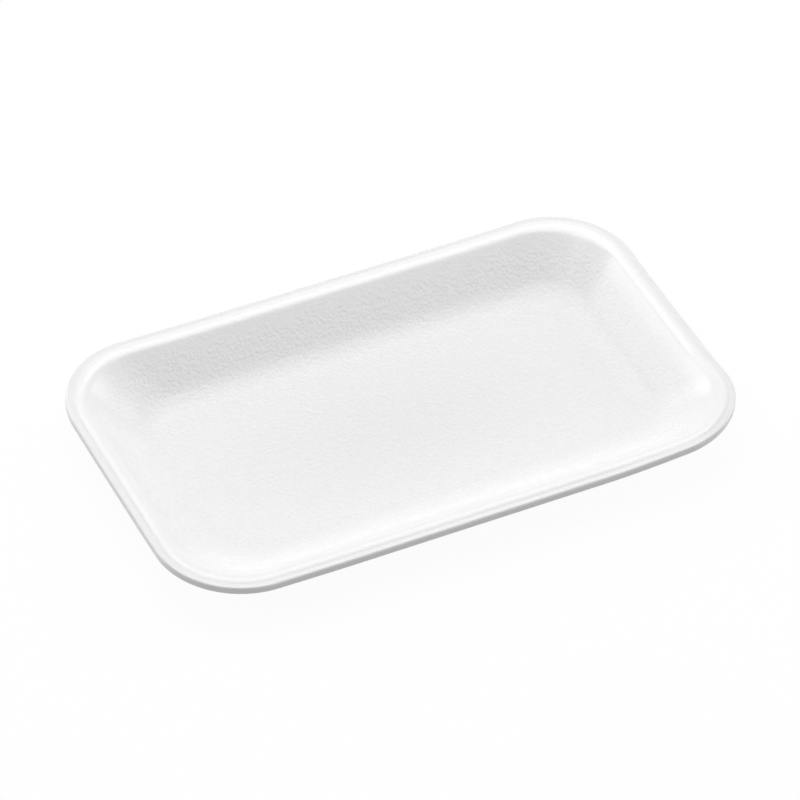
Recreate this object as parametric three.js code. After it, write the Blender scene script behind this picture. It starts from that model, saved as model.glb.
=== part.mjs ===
import * as THREE from "three";

// Food tray pressed from one sheet of white foam.
// Millimetres, +Z up, length along X. The origin is the middle of the flat base, on the surface
// that the tray stands on.

// Overall size
const LENGTH = 210;
const WIDTH = 128;
const HEIGHT = 16;

// Corner radii seen from above
const RIM_CORNER_RADIUS = 30;
const FLOOR_CORNER_RADIUS = 16;

// Walls: the slope from level, and the hollow curve at the foot where wall turns into floor
const SIDE_SLOPE_DEG = 37;
const SIDE_FOOT_RADIUS = 20;
const END_SLOPE_DEG = 38;
const END_FOOT_RADIUS = 16;

// Foam thickness, squeezed a little thinner towards the rim
const FLOOR_THICKNESS = 3;
const WALL_THICKNESS = 2.8;
const LIP_THICKNESS = 2.6;

// Rim: a narrow level lip, and inside it a low round bead that is the highest line of the tray
const EDGE_RADIUS = 0.9;
const UNDER_EDGE_RADIUS = 0.4;
const LIP_FLAT = 1.1;
const LIP_DROP = 0.5;
const LIP_HOLLOW_RADIUS = 1;
const BEAD_RADIUS = 5.5;
const UNDER_LIP_RADIUS = 2;

// Corners: the rim rises a little towards each, and one has sprung up further
const CORNER_RISE = 0.8;
const SPRUNG_CORNER_RISE = 3;
const RISE_REACH_ALONG = 60;
const RISE_REACH_ACROSS = 48;

// Foam
const FOAM_COLOR = 0xf4f4f3;
const FOAM_ROUGHNESS = 0.5;

// Smoothness
const EDGE_STEPS = 3;
const LIP_STEPS = 3;
const BEAD_STEPS = 7;
const FOOT_STEPS = 8;
const CORNER_STEPS = 10;
const LENGTHWISE_STEPS = 6;
const CROSSWISE_STEPS = 4;

const QUARTER_TURN = Math.PI / 2;

// Walks along one line of the section. x is the inset from the trimmed edge, y is the height.
// A heading of 0 points inwards, and a quarter turn points up.
class SectionPen {
  constructor(inset, height, heading) {
    this.points = [new THREE.Vector2(inset, height)];
    this.heading = heading;
  }

  get tip() {
    return this.points[this.points.length - 1];
  }

  line(length) {
    const ahead = new THREE.Vector2(Math.cos(this.heading), Math.sin(this.heading));
    this.points.push(this.tip.clone().addScaledVector(ahead, length));
    return this;
  }

  // A positive turn bends up and a negative one bends down.
  arc(radius, turn, steps) {
    const bend = Math.sign(turn);
    const towardsCentre = this.heading + bend * QUARTER_TURN;
    const x = this.tip.x + radius * Math.cos(towardsCentre);
    const y = this.tip.y + radius * Math.sin(towardsCentre);
    const from = towardsCentre + Math.PI;
    const curve = new THREE.EllipseCurve(x, y, radius, radius, from, from + turn, turn < 0);
    this.points.push(...curve.getPoints(steps).slice(1));
    this.heading += turn;
    return this;
  }
}

// How far an arc that turns from level to the slope moves in height
function arcDrop(radius, slope) {
  return radius * (1 - Math.cos(slope));
}

// Upper face of the foam, from the trimmed edge over lip and bead and down the wall to the floor
function upperLine(slope, footRadius) {
  const lipTurn = Math.acos(1 - LIP_DROP / (BEAD_RADIUS + LIP_HOLLOW_RADIUS));
  const depth = HEIGHT - FLOOR_THICKNESS;
  const wallLength = (depth - arcDrop(BEAD_RADIUS + footRadius, slope)) / Math.sin(slope);
  const pen = new SectionPen(0, HEIGHT - LIP_DROP - EDGE_RADIUS, QUARTER_TURN);
  pen.arc(EDGE_RADIUS, -QUARTER_TURN, EDGE_STEPS).line(LIP_FLAT);
  pen.arc(LIP_HOLLOW_RADIUS, lipTurn, LIP_STEPS).arc(BEAD_RADIUS, -lipTurn - slope, BEAD_STEPS);
  const shoulder = pen.tip;
  pen.line(wallLength).arc(footRadius, slope, FOOT_STEPS);
  return { points: pen.points, shoulder };
}

// Lower face, from the trimmed edge along under the lip and down the outside of the wall to the
// base. Its wall runs parallel to the upper face, one wall thickness away.
function lowerLine(slope, footRadius, shoulder) {
  const underLip = HEIGHT - LIP_DROP - LIP_THICKNESS;
  const inwards = (shoulder.y - underLip) / Math.tan(slope) - WALL_THICKNESS / Math.sin(slope);
  const corner = shoulder.x + inwards;
  const flat = corner - UNDER_LIP_RADIUS * Math.tan(slope / 2) - UNDER_EDGE_RADIUS;
  const outerFoot = footRadius + FLOOR_THICKNESS;
  const wallLength = (underLip - arcDrop(UNDER_LIP_RADIUS + outerFoot, slope)) / Math.sin(slope);
  const pen = new SectionPen(0, underLip + UNDER_EDGE_RADIUS, -QUARTER_TURN);
  pen.arc(UNDER_EDGE_RADIUS, QUARTER_TURN, EDGE_STEPS).line(flat);
  pen.arc(UNDER_LIP_RADIUS, -slope, LIP_STEPS).line(wallLength).arc(outerFoot, slope, FOOT_STEPS);
  return pen.points;
}

// The whole section of one wall, from the edge of the floor over the rim to the edge of the base
function wallSection(slopeDeg, footRadius) {
  const slope = THREE.MathUtils.degToRad(slopeDeg);
  const upper = upperLine(slope, footRadius);
  const lower = lowerLine(slope, footRadius, upper.shoulder);
  return { upper: upper.points.reverse(), lower };
}

// Round the rim the corners share one centre. From the bead inwards they tighten evenly, to the
// radius of the floor's corners.
function cornerRadius(inset, beadInset, footInset) {
  if (inset <= beadInset) {
    return RIM_CORNER_RADIUS - inset;
  }
  const share = (inset - beadInset) / (footInset - beadInset);
  return THREE.MathUtils.lerp(RIM_CORNER_RADIUS - beadInset, FLOOR_CORNER_RADIUS, share);
}

// Lift of a point of the rim's plan near a corner, from 0 at the floor to the full rise at the rim
function rise(x, y, share) {
  const along = 1 - (LENGTH / 2 - Math.abs(x)) / RISE_REACH_ALONG;
  const across = 1 - (WIDTH / 2 - Math.abs(y)) / RISE_REACH_ACROSS;
  const nearness = Math.max(along, 0) * Math.max(across, 0);
  const full = x > 0 && y < 0 ? SPRUNG_CORNER_RISE : CORNER_RISE;
  return full * THREE.MathUtils.smoothstep(nearness, 0, 1) * THREE.MathUtils.smoothstep(share, 0, 1);
}

// One loop round the tray: four corner arcs joined by straight runs. Round each corner the
// height passes from the end wall's to the side wall's.
function loop(side, end, radius, share) {
  const halfLength = LENGTH / 2 - end.x;
  const halfWidth = WIDTH / 2 - side.x;
  const corners = [0, 1, 2, 3].map((quarter) => {
    const start = quarter * QUARTER_TURN;
    const middle = start + QUARTER_TURN / 2;
    const x = Math.sign(Math.cos(middle)) * (halfLength - radius);
    const y = Math.sign(Math.sin(middle)) * (halfWidth - radius);
    const arc = new THREE.EllipseCurve(x, y, radius, radius, start, start + QUARTER_TURN);
    return arc.getPoints(CORNER_STEPS);
  });
  const plan = corners.flatMap((arc, quarter) => {
    const steps = quarter % 2 === 0 ? LENGTHWISE_STEPS : CROSSWISE_STEPS;
    const next = corners[(quarter + 1) % corners.length][0];
    const run = new THREE.LineCurve(arc[CORNER_STEPS], next).getPoints(steps).slice(1, -1);
    const turned = arc.map((point, step) => {
      return { point, turn: (quarter + step / CORNER_STEPS) * QUARTER_TURN };
    });
    const straight = run.map((point) => ({ point, turn: (quarter + 1) * QUARTER_TURN }));
    return [...turned, ...straight];
  });
  return plan.map(({ point, turn }) => {
    const height = THREE.MathUtils.lerp(end.y, side.y, Math.sin(turn) ** 2);
    return [point.x, point.y, height + rise(point.x, point.y, share)];
  });
}

// All loops of one face of the wall, in the order of its section
function loops(sideLine, endLine, beadInset) {
  const insets = sideLine.map((point) => point.x);
  const footInset = Math.max(...insets);
  return sideLine.map((side, index) => {
    const radius = cornerRadius(side.x, beadInset, footInset);
    return loop(side, endLine[index], radius, 1 - side.x / footInset);
  });
}

// Closed skin over the loops, with a level floor inside the first and a level base inside the last
function skin(rings, floorHeight, baseHeight) {
  const size = rings[0].length;
  const positions = rings.flat(2);
  const index = [];
  for (let ring = 0; ring < rings.length - 1; ring += 1) {
    for (let step = 0; step < size; step += 1) {
      const near = ring * size + step;
      const beside = ring * size + (step + 1) % size;
      index.push(near, near + size, beside + size);
      index.push(near, beside + size, beside);
    }
  }
  const floorCentre = rings.length * size;
  const baseCentre = floorCentre + 1;
  const lastRing = (rings.length - 1) * size;
  positions.push(0, 0, floorHeight, 0, 0, baseHeight);
  for (let step = 0; step < size; step += 1) {
    const beside = (step + 1) % size;
    index.push(floorCentre, step, beside);
    index.push(baseCentre, lastRing + beside, lastRing + step);
  }
  const geometry = new THREE.BufferGeometry();
  geometry.setAttribute("position", new THREE.Float32BufferAttribute(positions, 3));
  geometry.setIndex(index);
  geometry.computeVertexNormals();
  return geometry;
}

function trayGeometry() {
  const side = wallSection(SIDE_SLOPE_DEG, SIDE_FOOT_RADIUS);
  const end = wallSection(END_SLOPE_DEG, END_FOOT_RADIUS);
  const bead = side.upper.reduce((highest, point) => (point.y > highest.y ? point : highest));
  const upper = loops(side.upper, end.upper, bead.x);
  const lower = loops(side.lower, end.lower, bead.x);
  return skin([...upper, ...lower], FLOOR_THICKNESS, 0);
}

const foam = new THREE.MeshStandardMaterial({
  color: FOAM_COLOR,
  roughness: FOAM_ROUGHNESS,
  metalness: 0,
});
const tray = new THREE.Mesh(trayGeometry(), foam);
tray.name = "foam_tray";

const group = new THREE.Group();
group.add(tray);

export default group;
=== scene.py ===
import math

import bmesh
import bpy
import numpy as np
from mathutils import Matrix, Vector


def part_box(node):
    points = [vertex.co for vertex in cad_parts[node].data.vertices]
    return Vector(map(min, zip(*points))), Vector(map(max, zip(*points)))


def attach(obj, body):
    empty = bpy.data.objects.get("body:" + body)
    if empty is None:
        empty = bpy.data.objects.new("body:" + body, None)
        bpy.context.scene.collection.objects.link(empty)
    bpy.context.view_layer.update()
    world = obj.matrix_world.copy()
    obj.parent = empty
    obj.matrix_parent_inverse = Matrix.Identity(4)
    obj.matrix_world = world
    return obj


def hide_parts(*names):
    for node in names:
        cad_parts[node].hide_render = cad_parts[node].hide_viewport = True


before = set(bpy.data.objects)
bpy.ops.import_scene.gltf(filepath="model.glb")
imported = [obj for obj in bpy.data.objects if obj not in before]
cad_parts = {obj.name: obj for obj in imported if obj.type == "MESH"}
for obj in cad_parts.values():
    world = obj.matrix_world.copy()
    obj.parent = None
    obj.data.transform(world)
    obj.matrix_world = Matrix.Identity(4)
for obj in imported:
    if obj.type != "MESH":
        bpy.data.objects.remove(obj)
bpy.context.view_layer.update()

# A food tray pressed from one sheet of white foam. Metres, +Z up, length along X.

MM = 0.001
NODE = "foam_tray"


# The tray's shape

# Overall size: length and width from the frame, and the height of its straight sides
LOW, HIGH = (np.array(corner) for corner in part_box(NODE))
LENGTH, WIDTH = HIGH[:2] - LOW[:2]
HEIGHT = 16 * MM

# Corner radii seen from above
RIM_CORNER_RADIUS = 30 * MM
FLOOR_CORNER_RADIUS = 16 * MM

# Walls: the slope from level, and the hollow curve at the foot
SIDE_SLOPE = math.radians(37)
SIDE_FOOT_RADIUS = 20 * MM
END_SLOPE = math.radians(38)
END_FOOT_RADIUS = 16 * MM

# Foam thickness
FLOOR_THICKNESS = 3 * MM
WALL_THICKNESS = 2.8 * MM
LIP_THICKNESS = 2.6 * MM

# Rim: a narrow level lip, and inside it a low round bead
EDGE_RADIUS = 0.9 * MM
UNDER_EDGE_RADIUS = 0.4 * MM
LIP_FLAT = 1.1 * MM
LIP_DROP = 0.5 * MM
LIP_HOLLOW_RADIUS = 1 * MM
BEAD_RADIUS = 5.5 * MM
UNDER_LIP_RADIUS = 2 * MM

# Corners: the rim rises a little towards each, and one has sprung up further
CORNER_RISE = 0.8 * MM
SPRUNG_CORNER_RISE = 3 * MM
RISE_REACH_ALONG = 60 * MM
RISE_REACH_ACROSS = 48 * MM

# Spacing of the fine skin's points
EDGE_STEPS = 5
LIP_FLAT_STEPS = 2
UNDER_LIP_STEPS = 3
LIP_STEPS = 5
BEAD_STEPS = 12
WALL_STEPS = 12
FOOT_STEPS = 16
FLOOR_STEPS = 26
CORNER_STEPS = 40
LENGTHWISE_STEPS = 96
CROSSWISE_STEPS = 44
MERGE_DISTANCE = 0.004 * MM
SHORTEST_EDGE = 0.001 * MM

# Attribute of the skin that marks the lip for its painted shade, and the bead's steps over which it
# fades out
LIP_SHADE_SHARE = "lip_share"
LIP_FADE_STEPS = 3

QUARTER_TURN = math.pi / 2


class SectionPen:
    """Walks along one line of the section. x is the inset from the trimmed edge, y is the height.

    A heading of 0 points inwards, and a quarter turn points up.
    """

    def __init__(self, inset, height, heading):
        self.points = [(inset, height)]
        self.heading = heading

    def line(self, length, steps):
        x, y = self.points[-1]
        ahead = math.cos(self.heading), math.sin(self.heading)
        for step in range(1, steps + 1):
            reach = length * step / steps
            self.points.append((x + reach * ahead[0], y + reach * ahead[1]))

    def arc(self, radius, turn, steps):
        """A positive turn bends up and a negative one bends down."""
        x, y = self.points[-1]
        towards = self.heading + math.copysign(QUARTER_TURN, turn)
        cx, cy = x + radius * math.cos(towards), y + radius * math.sin(towards)
        for step in range(1, steps + 1):
            angle = towards + math.pi + turn * step / steps
            self.points.append((cx + radius * math.cos(angle), cy + radius * math.sin(angle)))
        self.heading += turn


def arc_drop(radius, slope):
    """How far an arc that turns from level to the slope moves in height."""
    return radius * (1 - math.cos(slope))


def upper_line(slope, foot_radius):
    """The upper face, from the trimmed edge over lip and bead and down the wall to the floor."""
    lip_turn = math.acos(1 - LIP_DROP / (BEAD_RADIUS + LIP_HOLLOW_RADIUS))
    depth = HEIGHT - FLOOR_THICKNESS
    wall_length = (depth - arc_drop(BEAD_RADIUS + foot_radius, slope)) / math.sin(slope)
    pen = SectionPen(0, HEIGHT - LIP_DROP - EDGE_RADIUS, QUARTER_TURN)
    pen.arc(EDGE_RADIUS, -QUARTER_TURN, EDGE_STEPS)
    pen.line(LIP_FLAT, LIP_FLAT_STEPS)
    pen.arc(LIP_HOLLOW_RADIUS, lip_turn, LIP_STEPS)
    pen.arc(BEAD_RADIUS, -lip_turn - slope, BEAD_STEPS)
    shoulder = pen.points[-1]
    pen.line(wall_length, WALL_STEPS)
    pen.arc(foot_radius, slope, FOOT_STEPS)
    return pen.points, shoulder


def lower_line(slope, foot_radius, shoulder):
    """The lower face, from the trimmed edge under the lip and down the outside to the base.

    Its wall runs parallel to the upper face, one wall thickness away.
    """
    under_lip = HEIGHT - LIP_DROP - LIP_THICKNESS
    inwards = (shoulder[1] - under_lip) / math.tan(slope) - WALL_THICKNESS / math.sin(slope)
    corner = shoulder[0] + inwards
    flat = corner - UNDER_LIP_RADIUS * math.tan(slope / 2) - UNDER_EDGE_RADIUS
    outer_foot = foot_radius + FLOOR_THICKNESS
    drop = under_lip - arc_drop(UNDER_LIP_RADIUS + outer_foot, slope)
    pen = SectionPen(0, under_lip + UNDER_EDGE_RADIUS, -QUARTER_TURN)
    pen.arc(UNDER_EDGE_RADIUS, QUARTER_TURN, EDGE_STEPS)
    pen.line(flat, UNDER_LIP_STEPS)
    pen.arc(UNDER_LIP_RADIUS, -slope, LIP_STEPS)
    pen.line(drop / math.sin(slope), WALL_STEPS)
    pen.arc(outer_foot, slope, FOOT_STEPS)
    return pen.points


def corner_radius(inset, bead_inset, foot_inset):
    """Round the rim the corners share one centre, and from the bead inwards they tighten evenly."""
    if inset <= bead_inset:
        return RIM_CORNER_RADIUS - inset
    share = (inset - bead_inset) / (foot_inset - bead_inset)
    return (1 - share) * (RIM_CORNER_RADIUS - bead_inset) + share * FLOOR_CORNER_RADIUS


def smooth(x):
    x = np.clip(x, 0, 1)
    return x * x * (3 - 2 * x)


def rise(x, y, share):
    """How far the rim is lifted near a corner: 0 at the floor, the full rise at the rim."""
    along = np.maximum(1 - (LENGTH / 2 - np.abs(x)) / RISE_REACH_ALONG, 0)
    across = np.maximum(1 - (WIDTH / 2 - np.abs(y)) / RISE_REACH_ACROSS, 0)
    full = np.where((x > 0) & (y < 0), SPRUNG_CORNER_RISE, CORNER_RISE)
    return full * smooth(along * across) * smooth(share)


def loop(side, end, radius, share):
    """One loop round the tray: four corner arcs, each followed by a straight run.

    Round each corner the height passes from the end wall's to the side wall's.
    """
    half_length = LENGTH / 2 - end[0] - radius
    half_width = WIDTH / 2 - side[0] - radius
    plan, turns = [], []
    for quarter in range(4):
        start = quarter * QUARTER_TURN
        x = half_length if quarter in (0, 3) else -half_length
        y = half_width if quarter < 2 else -half_width
        for step in range(CORNER_STEPS + 1):
            angle = start + step / CORNER_STEPS * QUARTER_TURN
            plan.append((x + radius * math.cos(angle), y + radius * math.sin(angle)))
            turns.append(angle)
        lengthwise = quarter % 2 == 0
        steps = LENGTHWISE_STEPS if lengthwise else CROSSWISE_STEPS
        run = (-2 * x, 0) if lengthwise else (0, -2 * y)
        last = plan[-1]
        for step in range(1, steps):
            plan.append((last[0] + run[0] * step / steps, last[1] + run[1] * step / steps))
            turns.append(start + QUARTER_TURN)
    plan = np.array(plan)
    side_share = np.sin(np.array(turns)) ** 2
    height = end[1] * (1 - side_share) + side[1] * side_share
    height = height + rise(plan[:, 0], plan[:, 1], share)
    return np.column_stack([plan, height])


def loops(side_line, end_line, bead_inset):
    """All loops of one face of the wall, in the order of its section."""
    foot_inset = max(x for x, _ in side_line)
    made = []
    for side, end in zip(side_line, end_line):
        radius = corner_radius(side[0], bead_inset, foot_inset)
        made.append(loop(side, end, radius, 1 - side[0] / foot_inset))
    return made


def level_loops(edge):
    """Loops that fill the level face inside an edge loop, shrinking to a line along its middle."""
    spine = edge.copy()
    reach = (LENGTH - WIDTH) / 2
    spine[:, 0] = np.clip(edge[:, 0], -reach, reach)
    spine[:, 1] = 0
    return [edge + (spine - edge) * step / FLOOR_STEPS for step in range(1, FLOOR_STEPS + 1)]


def tray_loops():
    """The whole skin, from the middle of the floor over the rim to the middle of the base."""
    side_upper, side_shoulder = upper_line(SIDE_SLOPE, SIDE_FOOT_RADIUS)
    end_upper, end_shoulder = upper_line(END_SLOPE, END_FOOT_RADIUS)
    side_lower = lower_line(SIDE_SLOPE, SIDE_FOOT_RADIUS, side_shoulder)
    end_lower = lower_line(END_SLOPE, END_FOOT_RADIUS, end_shoulder)
    bead_inset = max(side_upper, key=lambda point: point[1])[0]
    upper = loops(side_upper, end_upper, bead_inset)[::-1]
    lower = loops(side_lower, end_lower, bead_inset)
    return level_loops(upper[0])[::-1] + upper + lower + level_loops(lower[-1])


def lip_shares():
    """For each loop 1 on the lip and its edge, where they get painted shade, and 0 elsewhere,
    fading on the bead's outer side.
    """
    upper = [1.0] * (EDGE_STEPS + LIP_FLAT_STEPS + LIP_STEPS + 1)
    upper += [max(1 - step / LIP_FADE_STEPS, 0) for step in range(1, BEAD_STEPS + 1)]
    upper += [0.0] * (WALL_STEPS + FOOT_STEPS)
    lower = [1.0] * (EDGE_STEPS + UNDER_LIP_STEPS + 1)
    lower += [0.0] * (LIP_STEPS + WALL_STEPS + FOOT_STEPS)
    level = [0.0] * FLOOR_STEPS
    return level + upper[::-1] + lower + level


def add_object(name, data):
    made = bpy.data.objects.new(name, data)
    bpy.context.scene.collection.objects.link(made)
    return made


def merge_close_points(mesh):
    work = bmesh.new()
    work.from_mesh(mesh)
    bmesh.ops.remove_doubles(work, verts=work.verts, dist=MERGE_DISTANCE)
    bmesh.ops.dissolve_degenerate(work, edges=work.edges, dist=SHORTEST_EDGE)
    bmesh.ops.recalc_face_normals(work, faces=work.faces)
    work.to_mesh(mesh)
    work.free()


def build_tray():
    rings = tray_loops()
    size = len(rings[0])
    points = np.concatenate(rings)
    faces = []
    for ring in range(len(rings) - 1):
        for step in range(size):
            near, beside = ring * size + step, ring * size + (step + 1) % size
            faces.append((near, near + size, beside + size, beside))
    mesh = bpy.data.meshes.new("tray_skin")
    mesh.from_pydata([tuple(point) for point in points], [], faces)
    # Mask of the lip's painted shade
    lip = mesh.attributes.new(LIP_SHADE_SHARE, "FLOAT", "POINT")
    lip.data.foreach_set("value", np.repeat(lip_shares(), size))
    mesh.validate()
    tray = add_object("tray_skin", mesh)
    merge_close_points(mesh)
    mesh.shade_smooth()
    return tray


# Materials

class Nodes:
    """Short calls for building one node tree."""

    def __init__(self, tree):
        self.nodes, self.links = tree.nodes, tree.links

    def add(self, kind, inputs=None, **settings):
        """Adds a node. Its inputs are given by name or place, each as a value or a socket."""
        node = self.nodes.new(kind)
        for key, value in settings.items():
            setattr(node, key, value)
        for key, value in (inputs or {}).items():
            self.set(node, key, value)
        return node

    def set(self, node, key, value):
        if isinstance(value, bpy.types.NodeSocket):
            self.links.new(value, node.inputs[key])
        else:
            node.inputs[key].default_value = value

    def math(self, operation, *values):
        inputs = dict(enumerate(values))
        return self.add("ShaderNodeMath", inputs, operation=operation).outputs[0]

    def vector_math(self, operation, inputs):
        return self.add("ShaderNodeVectorMath", inputs, operation=operation).outputs

    def mix(self, first, second, second_share):
        """Two textures added up by their shares."""
        first_part = self.math("MULTIPLY", first, 1 - second_share)
        return self.math("ADD", first_part, self.math("MULTIPLY", second, second_share))

    def spread(self, value, low, high, to_low, to_high):
        """The value's range from low to high, moved to the range from to_low to to_high."""
        inputs = {"Value": value, "From Min": low, "From Max": high, "To Min": to_low,
                  "To Max": to_high}
        return self.add("ShaderNodeMapRange", inputs).outputs[0]

    def noise(self, place, scale, detail):
        inputs = {"Vector": place, "Scale": scale, "Detail": detail}
        return self.add("ShaderNodeTexNoise", inputs).outputs["Fac"]


# The foam's textures: cells, grain and mottle are counted per millimetre, and LOW and HIGH are the
# ends of a texture's usual range
CELLS = 0.85
CELL_BLUR = 0.4
CELL_REACH = 0.7
GRAIN, GRAIN_DETAIL = 0.6, 1.5
GRAIN_LOW, GRAIN_HIGH = 0.3, 0.7
MOTTLE, MOTTLE_DETAIL = 0.25, 3
SHADE_LOW, SHADE_HIGH = 0.25, 0.75

# Relief: grain over the dimples of the cells, flatter on the pressed rim
GRAIN_IN_RELIEF = 0.6
RELIEF_HEIGHT = 0.36 * MM
FLOOR_RELIEF, RIM_RELIEF = 0.9, 0.3

# White: its tone, with painted shade in the middle of the floor, painted light on the walls from
# the foot upwards and painted shade on the lip; the share of the floor's half size that keeps the
# middle's painted shade, and how far the texture shifts the tone
MIDDLE_PAINTED_SHADE, FLOOR_TONE, WALL_PAINTED_LIGHT, LIP_PAINTED_SHADE = 0.835, 0.875, 0.905, 0.82
MIDDLE_SHARE = 0.2
MOTTLE_IN_SHADE = 0.3
TONE_SPREAD = 0.011

# Gloss: of the cells, and of the smooth skin over them, which is thicker on the pressed rim
CELL_ROUGHNESS, CELL_GLOSS = 0.45, 0.15
ROUGHNESS_SPREAD = 0.05
SKIN_ROUGHNESS, SKIN_IOR = 0.23, 1.62
FLOOR_SKIN, RIM_SKIN = 0.35, 1

# Where these change, in millimetres: the floor's half size for its painted shade, the heights over
# which the wall's painted light rises, and heights towards the pressed rim
FLOOR_HALF_LENGTH, FLOOR_HALF_WIDTH = 78, 36
WALL_LIGHT_FROM, WALL_LIGHT_TO = 3, 8
PRESSED_FROM, PRESSED_TO = 11, 15


def foam_tone(nodes, place, height, relief):
    """White with painted shade in the middle of the floor and on the lip, and painted light on the
    walls from the foot up; faintly mottled.
    """
    half_sizes = {0: place, 1: (1 / FLOOR_HALF_LENGTH, 1 / FLOOR_HALF_WIDTH, 0)}
    from_middle = nodes.vector_math("MULTIPLY", half_sizes)[0]
    outwards = nodes.vector_math("LENGTH", {0: from_middle})["Value"]
    # Painted shade: the middle of the floor is darker, and it lightens towards the floor's edges
    floor_with_painted_shade = nodes.spread(outwards, MIDDLE_SHARE, 1, MIDDLE_PAINTED_SHADE, FLOOR_TONE)
    # Painted light: the walls grow lighter from the foot upwards
    walls_with_painted_light = nodes.spread(height, WALL_LIGHT_FROM, WALL_LIGHT_TO, floor_with_painted_shade, WALL_PAINTED_LIGHT)
    lip = nodes.add("ShaderNodeAttribute", attribute_name=LIP_SHADE_SHARE).outputs["Fac"]
    # Painted shade: the lip and its trimmed edge are darker
    tone = nodes.spread(lip, 0, 1, walls_with_painted_light, LIP_PAINTED_SHADE)
    shade = nodes.mix(relief, nodes.noise(place, MOTTLE, MOTTLE_DETAIL), MOTTLE_IN_SHADE)
    shift = nodes.spread(shade, SHADE_LOW, SHADE_HIGH, -TONE_SPREAD, TONE_SPREAD)
    return nodes.math("ADD", tone, shift)


def foam_material():
    """Fine closed cells under a smooth satin skin, flatter and glossier round the pressed rim."""
    material = bpy.data.materials.new("white_foam")
    material.use_nodes = True
    nodes = Nodes(material.node_tree)
    shader = nodes.nodes["Principled BSDF"]
    metres = nodes.add("ShaderNodeTexCoord").outputs["Object"]
    place = nodes.vector_math("SCALE", {"Vector": metres, "Scale": 1 / MM})[0]
    height = nodes.add("ShaderNodeSeparateXYZ", {"Vector": place}).outputs["Z"]
    pressed = nodes.spread(height, PRESSED_FROM, PRESSED_TO, 0, 1)

    cell_inputs = {"Vector": place, "Scale": CELLS, "Smoothness": CELL_BLUR}
    cells = nodes.add("ShaderNodeTexVoronoi", cell_inputs, feature="SMOOTH_F1")
    dimples = nodes.spread(cells.outputs["Distance"], 0, CELL_REACH, 0, 1)
    grain = nodes.noise(place, GRAIN, GRAIN_DETAIL)
    relief = nodes.mix(dimples, grain, GRAIN_IN_RELIEF)
    strength = nodes.spread(pressed, 0, 1, FLOOR_RELIEF, RIM_RELIEF)
    bump_inputs = {"Strength": strength, "Distance": RELIEF_HEIGHT, "Height": relief}
    nodes.set(shader, "Normal", nodes.add("ShaderNodeBump", bump_inputs).outputs[0])

    # The base colour carries painted shade on the floor's middle and the lip, and painted light on
    # the walls
    tone = foam_tone(nodes, place, height, relief)
    grey = nodes.add("ShaderNodeCombineColor", {"Red": tone, "Green": tone, "Blue": tone})
    nodes.set(shader, "Base Color", grey.outputs[0])

    roughness = nodes.spread(grain, GRAIN_LOW, GRAIN_HIGH, CELL_ROUGHNESS - ROUGHNESS_SPREAD,
                             CELL_ROUGHNESS + ROUGHNESS_SPREAD)
    nodes.set(shader, "Roughness", roughness)
    nodes.set(shader, "Specular IOR Level", CELL_GLOSS)
    nodes.set(shader, "Coat Weight", nodes.spread(pressed, 0, 1, FLOOR_SKIN, RIM_SKIN))
    nodes.set(shader, "Coat Roughness", SKIN_ROUGHNESS)
    nodes.set(shader, "Coat IOR", SKIN_IOR)
    return material


# Stage, light and camera

# The stage floor lies a hair below the tray's base, so that the two faces never meet. It throws
# less light back on the tray than its white look would, and the backdrop's share of that look is
# plain white, which keeps the shadow faint.
STAGE_REACH = 3.0
STAGE_GAP = 0.05 * MM
STAGE_TINT, STAGE_TINT_SEEN = 0.65, 1
STAGE_ROUGHNESS = 0.9
BACKDROP_SHARE = 0.95
WHITE = (1, 1, 1, 1)
WORLD_STRENGTH = 0.33

# Lights: name, azimuth, elevation, distance, size and power
LIGHTS = (
    ("softbox", 168, 70, 1.2, 1.0, 8.1),
    ("right_fill", 90, 22, 1.2, 0.8, 4.0),
    ("back_fill", 212, 22, 1.2, 0.8, 4.4),
)

# The view of the photo. The camera's distance and offset are from the middle of the rim.
CAMERA_AZIMUTH, CAMERA_ELEVATION = -26.96, 42.78
CAMERA_ROLL = math.radians(1.706)
CAMERA_DISTANCE = 1852.96 * MM
CAMERA_OFFSET = (-0.348 * MM, -1.145 * MM)
CAMERA_LENS = 248.76
RIM_HEIGHT = HEIGHT - LIP_DROP


def direction(azimuth, elevation):
    """Unit vector from the tray. Azimuth 0 is the near side and 90 the right end, in degrees."""
    a, e = math.radians(azimuth), math.radians(elevation)
    return Vector((math.sin(a) * math.cos(e), -math.cos(a) * math.cos(e), math.sin(e)))


def seen_as_background(nodes):
    """1 for rays that see the background: from the camera, or by way of gloss or glass."""
    path = nodes.add("ShaderNodeLightPath").outputs
    seen = nodes.math("MAXIMUM", path["Is Camera Ray"], path["Is Glossy Ray"])
    return nodes.math("MAXIMUM", seen, path["Is Transmission Ray"])


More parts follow.
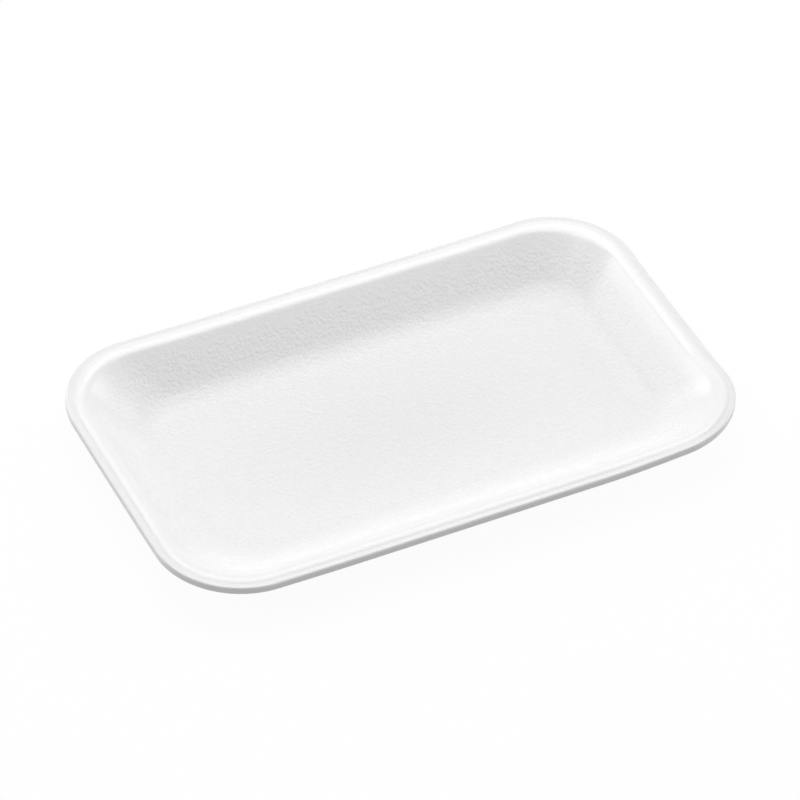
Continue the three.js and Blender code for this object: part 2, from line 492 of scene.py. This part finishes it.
def stage_material():
    """A pale floor that looks white, with a faint shadow of the tray on it."""
    material = bpy.data.materials.new("pale_floor")
    material.use_nodes = True
    nodes = Nodes(material.node_tree)
    lit = nodes.nodes["Principled BSDF"]
    seen = seen_as_background(nodes)
    nodes.set(lit, "Base Color", nodes.spread(seen, 0, 1, STAGE_TINT, STAGE_TINT_SEEN))
    nodes.set(lit, "Roughness", STAGE_ROUGHNESS)
    white = nodes.add("ShaderNodeEmission", {"Color": WHITE, "Strength": 1})
    share = nodes.math("MULTIPLY", seen, BACKDROP_SHARE)
    mixed = nodes.add("ShaderNodeMixShader", {0: share, 1: lit.outputs[0], 2: white.outputs[0]})
    nodes.set(nodes.nodes["Material Output"], "Surface", mixed.outputs[0])
    return material


def build_floor():
    mesh = bpy.data.meshes.new("floor")
    r, z = STAGE_REACH, -STAGE_GAP
    mesh.from_pydata([(-r, -r, z), (r, -r, z), (r, r, z), (-r, r, z)], [], [(0, 1, 2, 3)])
    mesh.materials.append(stage_material())
    add_object("floor", mesh)


def build_world():
    """Even light from all round, and white where it is seen."""
    world = bpy.data.worlds.new("studio")
    bpy.context.scene.world = world
    world.use_nodes = True
    nodes = Nodes(world.node_tree)
    sky = nodes.nodes["Background"]
    nodes.set(sky, "Color", WHITE)
    strength = nodes.spread(seen_as_background(nodes), 0, 1, WORLD_STRENGTH, 1)
    nodes.set(sky, "Strength", strength)


def area_light(name, azimuth, elevation, distance, size, energy):
    """A square soft light aimed at the tray."""
    lamp = bpy.data.lights.new(name, "AREA")
    lamp.shape = "SQUARE"
    lamp.size = size
    lamp.energy = energy
    light = add_object(name, lamp)
    light.location = distance * direction(azimuth, elevation)
    light.rotation_euler = (-light.location).to_track_quat("-Z", "Y").to_euler()


def build_camera():
    back = direction(CAMERA_AZIMUTH, CAMERA_ELEVATION)
    level = direction(CAMERA_AZIMUTH + 90, 0)
    over = back.cross(level)
    right = level * math.cos(CAMERA_ROLL) + over * math.sin(CAMERA_ROLL)
    up = over * math.cos(CAMERA_ROLL) - level * math.sin(CAMERA_ROLL)
    aim = Vector((0, 0, RIM_HEIGHT)) + right * CAMERA_OFFSET[0] + up * CAMERA_OFFSET[1]
    place = Matrix.Translation(aim + back * CAMERA_DISTANCE)
    data = bpy.data.cameras.new("camera")
    data.lens = CAMERA_LENS
    camera = add_object("camera", data)
    camera.matrix_world = place @ Matrix((right, up, back)).transposed().to_4x4()
    bpy.context.scene.camera = camera


tray = build_tray()
tray.data.materials.append(foam_material())
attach(tray, "root")
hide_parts(NODE)

build_floor()
build_world()
for light in LIGHTS:
    area_light(*light)
build_camera()
bpy.context.scene.view_settings.view_transform = "Standard"
